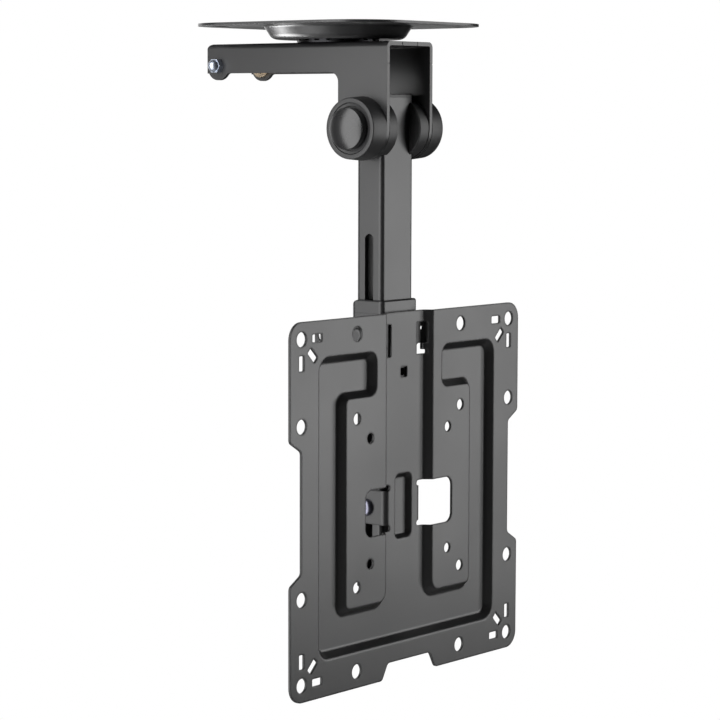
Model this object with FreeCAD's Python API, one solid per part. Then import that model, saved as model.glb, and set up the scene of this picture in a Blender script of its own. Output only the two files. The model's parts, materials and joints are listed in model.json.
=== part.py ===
"""Folding ceiling mount for a flat television, modelled in millimetres.

The origin is where the swivel axis meets the ceiling.  +Z is up, the screen side
faces -Y, and the arm runs back along +Y.  Each function returns one piece.
"""
import os

import FreeCAD
import Part
from FreeCAD import Vector
from math import cos, hypot, pi, radians, sin, tan

# Ceiling plate, a pressed sheet with a round dish for the swivel.
ceiling_x = 130.0
ceiling_y = 150.0
ceiling_corner_r = 35.0
ceiling_t = 1.5
dish_depth = 7.8
dish_mouth_r = 45.0
dish_wall_run = 5.0
dish_edge_r = 4.0
ceiling_slot_x = 90.0
ceiling_slot_y = 110.0
ceiling_slot_w = 6.5
ceiling_slot_len = 16.0

# Swivel: a square-neck bolt through dish, washers and arm, with a lock nut below.
swivel_bolt_r = 5.0
swivel_head_r = 10.5
swivel_head_h = 5.0
swivel_fit = 0.05
swivel_slack = 0.2
thrust_washer_r = 25.0
thrust_washer_t = 2.0
thrust_grooves = 20
thrust_groove_w = 3.4
thrust_groove_deep = 0.9
thrust_groove_in = 5.0
lower_washer_r = 15.0
lower_washer_t = 1.5
steel_washer_r = 10.5
steel_washer_t = 2.0
swivel_nut_af = 17.0
swivel_nut_h = 9.0
bolt_tip = 1.5

# Arm, one folded sheet: a channel open below, with a leg at the front.
arm_width = 43.5
arm_t = 2.5
arm_bend_r = 3.5
arm_side_h = 18.0
arm_end_y = 87.4
arm_end_corner_r = 3.0
leg_width = 37.4
leg_inner_r = 6.0
lobe_r = 8.8
lobe_fillet_r = 3.0
nick_w = 0.4
nick_deep = 0.35
nick_drop = 13.3
nick_half_x = 7.2
end_bolt_drop = 13.4
swivel_to_pivot_y = 36.7
pivot_drop = 51.3

# Cross bolt at the arm's far end.
end_bolt_r = 2.5
end_bolt_fit = 0.15
end_head_af = 8.0
end_head_h = 3.5
end_nut_h = 3.8
end_dome_r = 3.7
spacer_r = 4.0
spacer_flange_r = 6.6
spacer_flange_t = 2.0

# Fold pivot: bolt, washers, friction cheeks, covers and caps.
pivot_bolt_r = 4.0
pivot_fit = 0.05
pivot_head_af = 13.0
pivot_head_h = 5.3
pivot_nut_h = 5.2
pivot_tip = 0.4
pivot_washer_r = 8.0
pivot_washer_t = 1.6
cheek_r = 18.5
cheek_grip = 4.5
cheek_gap = 0.1
cover_r = 19.0
cover_rim_r = 18.3
cover_depth = 11.8
cover_rim_round = 1.8
cover_lip_round = 0.9
cover_bowl_r = 15.3
cover_bowl_depth = 1.8
cover_pocket_r = 9.6
cap_r = 12.6
cap_groove = 2.5
cap_edge_round = 0.7
cap_rise = 3.2
cap_edge_h = 5.4
cover_line_at = 8.6
cover_line_w = 0.5
cover_line_deep = 0.35
cap_stem_r = 9.4
cap_stem = 1.6
cap_stem_wall = 1.2
cap_seat_t = 0.8

# Pole, a rectangular tube with a height slot in each side.
pole_w = 30.0
pole_d = 20.0
pole_wall = 1.5
pole_corner_r = 2.75
pole_above_pivot = 18.5
pole_below_pivot = 274.5
slot_w = 6.3
slot_top_drop = 62.6
slot_bottom_margin = 9.0
plug_flange = 2.0
plug_depth = 9.0
plug_fit = 0.1
pivot_spacer_r = 6.5

# Sleeve that slides on the pole, its collar and the hanger for the screen plate.
slide_gap = 0.3
sleeve_wall = 1.8
sleeve_corner_r = 3.0
sleeve_top_below_plate = 1.0
sleeve_len = 53.0
collar_h = 8.0
collar_round = 1.4
collar_back_round = 6.0
hanger_t = 1.5
hanger_half_w = 14.0
hanger_top_below_plate = 5.0
hanger_len = 43.0
ear_half_w = 23.0
ear_h = 15.2
ear_round = 2.0
ear_hole_x = 19.2
ear_hole_below_top = 6.0
ear_hole_r = 1.5
hanger_hole_below_top = 31.3
hanger_hole_w = 6.2
hanger_hole_r = 2.4
hanger_hole_round = 0.8

# Latch on the sleeve; its hook takes the arm's cross bar when the pole is folded up.
latch_t = 1.5
latch_side_gap = 0.3
latch_behind_axis = 5.3
latch_below_plate = 14.5
latch_hub_r = 6.0
latch_inner_half = 12.0
latch_step_gap = 1.1
latch_arm_top = 0.5
latch_arm_bottom = 9.0
latch_arm_len = 36.7
latch_arm_fall = 4.0
latch_nose_h = 4.9
latch_nose_lean = 1.2
latch_nose_t = 1.7
latch_bridge_h = 4.5
latch_pin_r = 2.5
latch_pin_fit = 0.05
latch_head_r = 4.8
latch_head_h = 2.4
latch_shoulder = 0.1

# Height screw through the plate's tabs and both slots.
height_screw_r = 3.0
height_screw_fit = 0.15
height_head_r = 5.3
height_head_h = 3.2
height_socket_af = 4.0
height_socket_depth = 2.0
height_nut_af = 10.0
height_nut_h = 5.0
height_screw_z = -8.0

# Screen plate, a pressed sheet.  Heights are from the centre of the VESA pattern.
vesa_drop = 219.0
vesa_wide = 200.0
vesa_middle = 100.0
vesa_small = 75.0
plate_margin = 10.0
plate_half = vesa_wide / 2 + plate_margin
plate_corner_r = 10.0
sheet_t = 1.5
side_notch_deep = 10.0
side_notch_rim_z = vesa_middle / 2 - 8.5
side_notch_floor_z = side_notch_rim_z - 6.0
bottom_notch_rim_x = vesa_middle / 2 - 24.0
bottom_notch_floor_x = bottom_notch_rim_x - 5.5
notch_r = 3.2
emboss_depth = 4.85
emboss_run = 4.0
emboss_rim_r = 1.5
emboss_floor_r = 1.8
tray_margin_x = 25.5
tray_margin_z = 21.5
tray_half_x = plate_half - tray_margin_x
tray_top = plate_half - tray_margin_z
tray_bottom = plate_half - tray_margin_z
panel_half_x = vesa_middle / 2 + 10.0
panel_half_z = vesa_middle / 2 + 12.0
channel_half_x = 22.5
arm_pan_inner_x = channel_half_x + 9.0
tray_corner_r = 9.0
panel_corner_r = 3.5
inner_corner_r = 6.4
groove_half_x = 8.0
groove_half_z = 19.8
groove_z = -7.5
groove_gap = 0.3
groove_run = 2.6
groove_corner_r = 4.0
groove_rim_r = 1.2
groove_floor_r = 0.9
vesa_hole_r = 4.4
inner_hole_r = 3.4
small_hole_r = 3.1
ray_slot_len = 8.8
ray_slot_w = 4.6
ray_slot_at = 13.8
ray_slot_round = 0.8
window_inner_x = 14.6
window_outer_x = 42.0
window_half_z = 14.0
window_z = -7.5
window_r = 5.5
window_notch_r = 1.8
tab_gap = 0.5
tab_bend_r = 3.5
tab_behind_axis = 11.0
tab_corner_r = 6.0
top_window_inner_x = 12.3
top_window_outer_x = channel_half_x - 2.1
top_window_below_plate = 7.2
top_window_h = 19.4
tooth_inner_x = channel_half_x - 5.1
tooth_from_top = 12.8
tooth_h = 4.0
window_round = 0.6

# Places that follow from the sizes above.
dish_floor_z = -dish_depth
arm_top_z = dish_floor_z - ceiling_t - thrust_washer_t
arm_bottom_z = arm_top_z - arm_side_h
arm_inner_x = arm_width / 2 - arm_t
pivot_y = -swivel_to_pivot_y
pivot_z = arm_top_z - pivot_drop
arm_front_y = pivot_y - leg_width / 2
end_bolt_y = arm_end_y - lobe_r
end_bolt_z = arm_top_z - end_bolt_drop
pole_top_z = pivot_z + pole_above_pivot
pole_bottom_z = pivot_z - pole_below_pivot
vesa_z = pivot_z - vesa_drop
sleeve_w = pole_w + 2 * (slide_gap + sleeve_wall)
sleeve_d = pole_d + 2 * (slide_gap + sleeve_wall)
sleeve_front_y = pivot_y - sleeve_d / 2
floor_back_y = sleeve_front_y - hanger_t
floor_front_y = floor_back_y - sheet_t
rim_front_y = floor_front_y - emboss_depth
rim_back_y = rim_front_y + sheet_t
pole_front_y = pivot_y - pole_d / 2
tab_inner_x = pole_w / 2 + tab_gap
tab_outer_x = tab_inner_x + sheet_t
groove_depth = pole_front_y - groove_gap - floor_back_y
plate_top_z = vesa_z + plate_half
sleeve_top_z = plate_top_z - sleeve_top_below_plate
hanger_top = plate_half - hanger_top_below_plate
hanger_bottom = hanger_top - hanger_len
ear_bottom = hanger_top - ear_h
ear_hole_z = hanger_top - ear_hole_below_top
hanger_hole_z = hanger_top - hanger_hole_below_top
top_window_top = plate_half - top_window_below_plate
top_window_bottom = top_window_top - top_window_h
tooth_top = top_window_top - tooth_from_top
tooth_bottom = tooth_top - tooth_h
latch_y = pivot_y + latch_behind_axis
latch_z = plate_top_z - latch_below_plate
through = 60.0


def rounded_wire(corners, place):
    """Closed wire through 2-D corners (a, b, radius); place(a, b) gives the 3-D point."""
    starts = []
    ends = []
    middles = []
    count = len(corners)
    for i, (a, b, r) in enumerate(corners):
        pa, pb = corners[i - 1][:2]
        na, nb = corners[(i + 1) % count][:2]
        back = Vector(pa - a, pb - b, 0).normalize()
        ahead = Vector(na - a, nb - b, 0).normalize()
        half = back.getAngle(ahead) / 2
        reach = r / tan(half)
        corner = Vector(a, b, 0)
        starts.append(corner + back * reach)
        ends.append(corner + ahead * reach)
        inward = (back + ahead).normalize()
        middles.append(corner + inward * (r / sin(half) - r))
    edges = []
    for i in range(count):
        if corners[i][2] > 0:
            points = [place(p.x, p.y) for p in (starts[i], middles[i], ends[i])]
            edges.append(Part.Arc(*points).toShape())
        following = (i + 1) % count
        gap = starts[following] - ends[i]
        if gap.Length > 1e-6:
            line = Part.makeLine(place(ends[i].x, ends[i].y),
                                 place(starts[following].x, starts[following].y))
            edges.append(line)
    return Part.Wire(edges)


def rectangle(a0, b0, a1, b1, r=0.0):
    """Corners of a rectangle with one corner radius."""
    return [(a0, b0, r), (a1, b0, r), (a1, b1, r), (a0, b1, r)]


def prism(corners, place, direction):
    """Solid swept from a rounded outline."""
    return Part.Face(rounded_wire(corners, place)).extrude(direction)


def on_xz(y):
    """Outline plane parallel to the screen, at depth y, heights from the VESA centre."""
    return lambda a, b: Vector(a, y, vesa_z + b)


def on_xy(z):
    """Level outline plane at height z."""
    return lambda a, b: Vector(a, b, z)


def on_yz(x):
    """Side outline plane at x."""
    return lambda a, b: Vector(x, a, b)


def disc(r, length, base, axis):
    """Cylinder from base along axis."""
    return Part.makeCylinder(r, length, base, axis)


def hexagon(across_flats, length, base, axis, turn=0.0):
    """Hexagonal bar from base along axis, with its tips turned by an angle."""
    tip = across_flats / 2 / cos(pi / 6)
    if abs(axis.z) > 0.5:
        place = lambda a, b: Vector(base.x + a, base.y + b, base.z)
    else:
        place = lambda a, b: Vector(base.x, base.y + a, base.z + b)
    corners = []
    for i in range(6):
        angle = radians(turn) + i * pi / 3
        corners.append((tip * cos(angle), tip * sin(angle), 0.0))
    return prism(corners, place, axis * length)


def revolve(profile, base, axis, side):
    """Turned solid: profile points are (distance along axis, radius)."""
    points = [base + axis * a + side * r for a, r in profile]
    face = Part.Face(Part.makePolygon(points + points[:1]))
    return face.revolve(base, axis, 360)


def circles_at(shape, axis, distance, radius, tolerance=0.05):
    """Round edges of the shape at a distance along the axis, with a radius."""
    found = []
    for edge in shape.Edges:
        curve = edge.Curve
        if not isinstance(curve, Part.Circle):
            continue
        along = curve.Center.dot(axis)
        if abs(along - distance) < tolerance and abs(curve.Radius - radius) < tolerance:
            found.append(edge)
    return found


def mirrored(shape):
    """The same piece on the other side of the middle plane."""
    return shape.mirror(Vector(0, 0, 0), Vector(1, 0, 0))


def joined(first, *others):
    """Pieces of one solid, fused with their shared faces cleaned."""
    return first.fuse(list(others)).removeSplitter()


UP = Vector(0, 0, 1)
DOWN = Vector(0, 0, -1)
RIGHT = Vector(1, 0, 0)
LEFT = Vector(-1, 0, 0)
BACK = Vector(0, 1, 0)


def ceiling_plate():
    """Sheet with a pressed dish, a square hole for the bolt and four screw slots."""
    floor_r = dish_mouth_r - dish_wall_run
    flange = 2.0
    profile = [(0, 0), (0, dish_mouth_r + flange), (ceiling_t, dish_mouth_r + flange),
               (ceiling_t, dish_mouth_r), (ceiling_t + dish_depth, floor_r),
               (ceiling_t + dish_depth, 0)]
    dish = revolve(profile, Vector(0, 0, 0), DOWN, RIGHT)
    dish = dish.makeFillet(dish_edge_r + ceiling_t,
                           circles_at(dish, UP, -ceiling_t - dish_depth, floor_r))
    dish = dish.makeFillet(dish_edge_r - ceiling_t,
                           circles_at(dish, UP, -ceiling_t, dish_mouth_r))
    slope = hypot(dish_wall_run, dish_depth)
    inset = ceiling_t * (slope - dish_wall_run) / dish_depth
    hollow_top = dish_mouth_r - inset
    hollow_floor = floor_r - inset
    rise = 1.0
    widen = rise * dish_wall_run / dish_depth
    hollow = revolve([(-rise, 0), (-rise, hollow_top + widen), (dish_depth, hollow_floor),
                      (dish_depth, 0)], Vector(0, 0, 0), DOWN, RIGHT)
    hollow = hollow.makeFillet(dish_edge_r, circles_at(hollow, UP, -dish_depth, hollow_floor))
    outline = rectangle(-ceiling_x / 2, -ceiling_y / 2, ceiling_x / 2, ceiling_y / 2,
                        ceiling_corner_r)
    sheet = prism(outline, on_xy(-ceiling_t), UP * ceiling_t)
    plate = joined(sheet, dish).cut(hollow)
    plate = plate.makeFillet(dish_edge_r, circles_at(plate, UP, 0, hollow_top))
    neck = square_neck(0.1)
    half = ceiling_slot_len / 2
    for sx in (-1, 1):
        for sy in (-1, 1):
            x = sx * ceiling_slot_x / 2
            y = sy * ceiling_slot_y / 2
            slot = prism(rectangle(x - half, y - ceiling_slot_w / 2, x + half,
                                   y + ceiling_slot_w / 2, ceiling_slot_w / 2 - 0.001),
                         on_xy(-ceiling_t - 1), UP * (ceiling_t + 2))
            plate = plate.cut(slot)
    return plate.cut(neck)


def square_neck(clearance):
    """Square under the swivel bolt's head, as deep as the dish's floor."""
    side = 2 * (swivel_bolt_r + clearance)
    return Part.makeBox(side, side, ceiling_t,
                        Vector(-side / 2, -side / 2, dish_floor_z - ceiling_t))


def swivel_stack():
    """Heights of the pieces below the arm's web, from the top down."""
    web_under = arm_top_z - arm_t
    lower = web_under - lower_washer_t
    steel = lower - steel_washer_t
    nut = steel - swivel_nut_h
    return web_under, lower, steel, nut


def swivel_bolt():
    """Round-head bolt, square under the head."""
    nut_under = swivel_stack()[3]
    length = dish_floor_z - nut_under + bolt_tip
    shank = disc(swivel_bolt_r, length, Vector(0, 0, dish_floor_z), DOWN)
    shank = shank.makeChamfer(0.8, circles_at(shank, UP, nut_under - bolt_tip, swivel_bolt_r))
    head = disc(swivel_head_r, swivel_head_h, Vector(0, 0, dish_floor_z), UP)
    crown = circles_at(head, UP, dish_floor_z + swivel_head_h, swivel_head_r)
    head = head.makeFillet(swivel_head_h - 0.8, crown)
    return joined(shank, square_neck(0.0), head)


def ring(outer_r, inner_r, height, base, axis):
    """Flat washer."""
    return disc(outer_r, height, base, axis).cut(disc(inner_r, height, base, axis))


def swivel_thrust_washer():
    """Steel washer between dish and arm, with short radial grooves round its rim."""
    top = Vector(0, 0, arm_top_z + thrust_washer_t)
    washer = ring(thrust_washer_r, swivel_bolt_r + swivel_slack, thrust_washer_t, top, DOWN)
    start = thrust_washer_r - thrust_groove_in
    groove = Part.makeBox(thrust_groove_in + 1, thrust_groove_w, thrust_groove_deep + 1,
                          Vector(start, -thrust_groove_w / 2, top.z - thrust_groove_deep))
    for i in range(thrust_grooves):
        turned = groove.copy()
        turned.rotate(Vector(0, 0, 0), UP, (i + 0.5) * 360 / thrust_grooves)
        washer = washer.cut(turned)
    return washer


def swivel_lower_washer():
    top = swivel_stack()[0]
    return ring(lower_washer_r, swivel_bolt_r + swivel_slack, lower_washer_t, Vector(0, 0, top), DOWN)


def swivel_steel_washer():
    top = swivel_stack()[1]
    return ring(steel_washer_r, swivel_bolt_r + swivel_slack, steel_washer_t, Vector(0, 0, top), DOWN)


def nut(across_flats, height, bore_r, base, axis, turn=0.0):
    """Hexagonal nut with rounded corners at its free end."""
    body = hexagon(across_flats, height, base, axis, turn)
    cone = revolve([(0, 0), (0, across_flats), (height - across_flats * 0.12, across_flats * 0.6),
                    (height, across_flats * 0.49), (height, 0)], base, axis, side_of(axis))
    return body.common(cone).cut(disc(bore_r, height, base, axis))


def side_of(axis):
    """A direction square to the axis."""
    return RIGHT if abs(axis.z) > 0.5 else UP


def swivel_nut():
    top = swivel_stack()[2]
    return nut(swivel_nut_af, swivel_nut_h, swivel_bolt_r, Vector(0, 0, top), DOWN)


def arm_bracket():
    """Folded channel with the front leg and the rounded ears at the far end."""
    half = arm_width / 2
    low = pivot_z - leg_width / 2
    length = arm_end_y - arm_front_y
    outer = prism([(-half, low, 0), (half, low, 0), (half, arm_top_z, arm_bend_r),
                   (-half, arm_top_z, arm_bend_r)],
                  lambda a, b: Vector(a, arm_front_y, b), BACK * length)
    inner_half = half - arm_t
    inner_r = arm_bend_r - arm_t
    inner = prism([(-inner_half, low - 1, 0), (inner_half, low - 1, 0),
                   (inner_half, arm_top_z - arm_t, inner_r),
                   (-inner_half, arm_top_z - arm_t, inner_r)],
                  lambda a, b: Vector(a, arm_front_y, b), BACK * length)
    bracket = outer.cut(inner).common(arm_side())
    bracket = bracket.cut(disc(swivel_bolt_r + swivel_fit, arm_t * 3,
                               Vector(0, 0, arm_top_z + arm_t), DOWN))
    across = Vector(-through, pivot_y, pivot_z)
    bracket = bracket.cut(disc(pivot_bolt_r, 2 * through, across, RIGHT))
    across = Vector(-through, end_bolt_y, end_bolt_z)
    bracket = bracket.cut(disc(end_bolt_r + end_bolt_fit, 2 * through, across, RIGHT))
    side_nick = Part.makeBox(2 * through, nick_deep, nick_w,
                             Vector(-through, arm_front_y, arm_top_z - nick_drop))
    bracket = bracket.cut(side_nick)
    for x in (-nick_half_x, nick_half_x):
        top_nick = Part.makeBox(nick_w, nick_deep, 2 * arm_t,
                                Vector(x - nick_w / 2, arm_front_y, arm_top_z - 1.5 * arm_t))
        bracket = bracket.cut(top_nick)
    return bracket


def arm_side():
    """Side outline of the arm as a block right across it."""
    leg_round = leg_width / 2 - 0.001
    leg_back = arm_front_y + leg_width
    corners = [(arm_front_y, pivot_z - leg_width / 2, leg_round),
               (leg_back, pivot_z - leg_width / 2, leg_round),
               (leg_back, arm_bottom_z, leg_inner_r),
               (arm_end_y, arm_bottom_z, 0),
               (arm_end_y, arm_top_z + 1, 0),
               (arm_front_y, arm_top_z + 1, 0)]
    side = prism(corners, on_yz(-through), RIGHT * 2 * through)
    ear = disc(lobe_r, 2 * through, Vector(-through, end_bolt_y, end_bolt_z), RIGHT)
    side = joined(side, ear)
    meet_y = end_bolt_y - (lobe_r ** 2 - (end_bolt_z - arm_bottom_z) ** 2) ** 0.5
    side = side.makeFillet(lobe_fillet_r, long_edges_at(side, meet_y, arm_bottom_z))
    corner = prism([(arm_end_y - arm_end_corner_r, arm_top_z - arm_end_corner_r, 0),
                    (arm_end_y + 1, arm_top_z - arm_end_corner_r, 0),
                    (arm_end_y + 1, arm_top_z + 2, 0),
                    (arm_end_y - arm_end_corner_r, arm_top_z + 2, 0)],
                   on_yz(-through), RIGHT * 2 * through)
    round_bar = disc(arm_end_corner_r, 2 * through,
                     Vector(-through, arm_end_y - arm_end_corner_r,
                            arm_top_z - arm_end_corner_r), RIGHT)
    return side.cut(corner.cut(round_bar))


def long_edges_at(shape, y, z):
    """Edges that run across the mount at one place of the side view."""
    found = []
    for edge in shape.Edges:
        ends = edge.Vertexes
        if len(ends) == 2 and abs(ends[0].Y - y) < 0.01 and abs(ends[1].Y - y) < 0.01:
            if abs(ends[0].Z - z) < 0.01 and abs(ends[1].Z - z) < 0.01:
                found.append(edge)
    return found


def end_bolt():
    """Cross bolt, its head on the right of the arm and its tip in the cap nut."""
    half = arm_width / 2
    start = Vector(half, end_bolt_y, end_bolt_z)
    shank = disc(end_bolt_r, arm_width + end_nut_h, start, LEFT)
    head = hexagon(end_head_af, end_head_h, start, RIGHT)
    return joined(shank, head)


def end_cap_nut():
    """Domed nut on the left of the arm."""
    base = Vector(-arm_width / 2, end_bolt_y, end_bolt_z)
    body = hexagon(end_head_af, end_nut_h, base, LEFT)
    dome = Part.makeSphere(end_dome_r, base + LEFT * end_nut_h)
    solid = joined(body, dome)
    return solid.cut(disc(end_bolt_r, end_nut_h, base, LEFT))


def end_spacer():
    """Flanged tube that keeps the arm's sides apart on the cross bolt."""
    start = Vector(-arm_inner_x, end_bolt_y, end_bolt_z)
    tube = disc(spacer_r, 2 * arm_inner_x, start, RIGHT)
    left = disc(spacer_flange_r, spacer_flange_t, start, RIGHT)
    right = disc(spacer_flange_r, spacer_flange_t, start + RIGHT * (2 * arm_inner_x), LEFT)
    bore = disc(end_bolt_r + end_bolt_fit, 2 * arm_inner_x, start, RIGHT)
    return joined(tube, left, right).cut(bore)


def pivot_bolt():
    """Hexagon bolt across the leg; the pole turns on it."""
    outside = arm_width / 2 + pivot_washer_t
    start = Vector(-outside, pivot_y, pivot_z)
    length = 2 * outside + pivot_nut_h + pivot_tip
    shank = disc(pivot_bolt_r, length, start, RIGHT)
    shank = shank.makeChamfer(0.5, circles_at(shank, RIGHT, length - outside, pivot_bolt_r))
    head = hexagon(pivot_head_af, pivot_head_h, start, LEFT)
    return joined(shank, head)


def pivot_nut():
    base = Vector(arm_width / 2 + pivot_washer_t, pivot_y, pivot_z)
    return nut(pivot_head_af, pivot_nut_h, pivot_bolt_r, base, RIGHT)


def pivot_washers():
    base = Vector(arm_width / 2, pivot_y, pivot_z)
    right = ring(pivot_washer_r, pivot_bolt_r, pivot_washer_t, base, RIGHT)
    return Part.makeCompound([mirrored(right), right])


def pivot_cover():
    """Moulded cover on the right of the leg: a tapered ring with a bowl and a nut pocket."""
    base = Vector(arm_width / 2, pivot_y, pivot_z)
    bowl_floor = cover_depth - cover_bowl_depth
    body = revolve([(0, 0), (0, cover_r), (cover_depth, cover_rim_r), (cover_depth, 0)],
                   base, RIGHT, UP)
    body = body.makeFillet(cover_rim_round,
                           circles_at(body, RIGHT, base.x + cover_depth, cover_rim_r))
    bowl = disc(cover_bowl_r, cover_bowl_depth, base + RIGHT * bowl_floor, RIGHT)
    pocket = disc(cover_pocket_r, bowl_floor, base, RIGHT)
    body = body.cut(joined(bowl, pocket))
    mouth = circles_at(body, RIGHT, base.x + cover_depth, cover_bowl_r)
    body = body.makeFillet(cover_lip_round, mouth)
    taper = (cover_r - cover_rim_r) / cover_depth
    line_r = cover_r - taper * cover_line_at - cover_line_deep
    return body.cut(ring(cover_r + 1, line_r, cover_line_w, base + RIGHT * cover_line_at, RIGHT))


def pivot_cap():
    """Domed cap that plugs the right cover."""
    bowl_floor = cover_depth - cover_bowl_depth
    base = Vector(arm_width / 2 + bowl_floor, pivot_y, pivot_z)
    edge_h = cap_edge_h
    sphere_r = (cap_r ** 2 + cap_rise ** 2) / (2 * cap_rise)
    centre = base + RIGHT * (edge_h + cap_rise - sphere_r)
    drum = disc(cap_r, edge_h + cap_rise, base, RIGHT)
    dome = drum.common(Part.makeSphere(sphere_r, centre))
    dome = dome.makeFillet(cap_edge_round, circles_at(dome, RIGHT, base.x + edge_h, cap_r))
    seat = ring(cap_r + cap_groove, cap_r, cap_seat_t, base, RIGHT)
    stem = ring(cap_stem_r, cap_stem_r - cap_stem_wall, cap_stem, base, LEFT)
    return joined(dome, seat, stem)


def pivot_cheek():
    """Moulded friction cheek on the right of the pole, notched to grip the tube."""
    outer_x = arm_inner_x - cheek_gap
    inner_x = pole_w / 2 - cheek_grip
    base = Vector(inner_x, pivot_y, pivot_z)
    body = disc(cheek_r, outer_x - inner_x, base, RIGHT)
    for x in (inner_x, outer_x):
        body = body.makeFillet(0.7, circles_at(body, RIGHT, x, cheek_r))
    notch = Part.makeBox(cheek_grip, pole_d, 3 * cheek_r,
                         Vector(inner_x, pivot_y - pole_d / 2, pivot_z - 1.5 * cheek_r))
    bore = disc(pivot_bolt_r + pivot_fit, outer_x, Vector(0, pivot_y, pivot_z), RIGHT)
    return body.cut(notch).cut(bore)


def tube(width, depth, corner_r, wall, low, high):
    """Upright rectangular tube about the pole's axis."""
    w = width / 2
    d = depth / 2
    outer = prism(rectangle(-w, pivot_y - d, w, pivot_y + d, corner_r), on_xy(low),
                  UP * (high - low))
    w -= wall
    d -= wall
    inner = prism(rectangle(-w, pivot_y - d, w, pivot_y + d, max(corner_r - wall, 0.4)),
                  on_xy(low), UP * (high - low))
    return outer.cut(inner)


def slot_ends():
    """Heights of the slot's ends."""
    return pivot_z - slot_top_drop, pole_bottom_z + slot_bottom_margin


def pole_tube():
    """Rectangular tube with the pivot holes and a round-ended slot in each side."""
    body = tube(pole_w, pole_d, pole_corner_r, pole_wall, pole_bottom_z, pole_top_z)
    top, bottom = slot_ends()
    half = slot_w / 2
    slot = prism(rectangle(pivot_y - half, bottom, pivot_y + half, top, half - 0.001),
                 on_yz(-through), RIGHT * 2 * through)
    hole = disc(pivot_bolt_r + pivot_fit, 2 * through, Vector(-through, pivot_y, pivot_z), RIGHT)
    return body.cut(slot).cut(hole)


def pole_plug(level, outward):
    """Moulded end plug with a flange as large as the tube."""
    w = pole_w / 2
    d = pole_d / 2
    flange = prism(rectangle(-w, pivot_y - d, w, pivot_y + d, pole_corner_r), on_xy(level),
                   outward * plug_flange)
    rim = [edge for edge in flange.Edges
           if all(abs(v.Z - level - outward.z * plug_flange) < 0.01 for v in edge.Vertexes)]
    flange = flange.makeFillet(0.6, rim)
    w -= pole_wall + plug_fit
    d -= pole_wall + plug_fit
    r = pole_corner_r - pole_wall
    inward = outward * -1
    skirt = prism(rectangle(-w, pivot_y - d, w, pivot_y + d, r), on_xy(level),
                  inward * plug_depth)
    skirt_wall = 1.5
    hollow = prism(rectangle(-w + skirt_wall, pivot_y - d + skirt_wall, w - skirt_wall,
                             pivot_y + d - skirt_wall), on_xy(level), inward * plug_depth)
    return joined(flange, skirt.cut(hollow))


def pole_top_plug():
    """Plug in the pole's top, short enough to stay clear of the pivot spacer."""
    return pole_plug(pole_top_z, UP)


def pole_bottom_plug():
    return pole_plug(pole_bottom_z, DOWN)


def pivot_spacer():
    """Tube inside the pole that takes the clamping force of the pivot bolt."""
    half = pole_w / 2 - pole_wall
    base = Vector(-half, pivot_y, pivot_z)
    return ring(pivot_spacer_r, pivot_bolt_r + pivot_fit, 2 * half, base, RIGHT)


def sleeve():
    """Short tube that slides on the pole, with threaded holes for the latch screws."""
    low = sleeve_top_z - sleeve_len
    body = tube(sleeve_w, sleeve_d, sleeve_corner_r, sleeve_wall, low, sleeve_top_z)
    pins = disc(latch_pin_r, 2 * through, Vector(-through, latch_y, latch_z), RIGHT)
    eye = disc(hanger_hole_r, sleeve_wall + 1,
               Vector(0, sleeve_front_y - 0.5, vesa_z + hanger_hole_z), BACK)
    return body.cut(pins).cut(eye)


def sleeve_collar():
    """Moulded guide collar on the sleeve's top."""
    low = sleeve_top_z
    body = tube(sleeve_w, sleeve_d, sleeve_corner_r, sleeve_wall, low, low + collar_h)
    rim = [edge for edge in body.Edges if is_outer_top(edge, low + collar_h)]
    body = body.makeFillet(collar_round, rim)
    back = pivot_y + sleeve_d / 2
    front = back - 2 * sleeve_d
    side = prism([(front, low - 1, 0), (back, low - 1, 0),
                  (back, low + collar_h, collar_back_round), (front, low + collar_h, 0)],
                 on_yz(-through), RIGHT * 2 * through)
    return body.common(side)


def is_outer_top(edge, level):
    """True for the edges round the outside of the collar's top."""
    flat = all(abs(v.Z - level) < 0.01 for v in edge.Vertexes)
    box = edge.BoundBox
    out_x = max(abs(box.XMin), abs(box.XMax)) > pole_w / 2 + slide_gap + 0.1
    out_y = max(abs(box.YMin - pivot_y), abs(box.YMax - pivot_y)) > pole_d / 2 + slide_gap + 0.1
    return flat and (out_x or out_y)


def sleeve_hanger():
    """Plate on the sleeve's front; its ears show in the screen plate's top windows."""
    wide = ear_half_w
    slim = hanger_half_w
    right = [(slim, hanger_bottom, ear_round), (slim, ear_bottom, ear_round),
             (wide, ear_bottom, ear_round), (wide, hanger_top, ear_round)]
    left = [(-x, z, r) for x, z, r in reversed(right)]
    body = prism(right + left, on_xz(floor_back_y), BACK * hanger_t)
    for x in (-ear_hole_x, ear_hole_x):
        eye = disc(ear_hole_r, 2 * hanger_t,
                   Vector(x, floor_back_y - 0.5, vesa_z + ear_hole_z), BACK)
        body = body.cut(eye)
    return body.cut(disc(hanger_hole_r, 2 * hanger_t,
                         Vector(0, floor_back_y - 0.5, vesa_z + hanger_hole_z), BACK))


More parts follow.
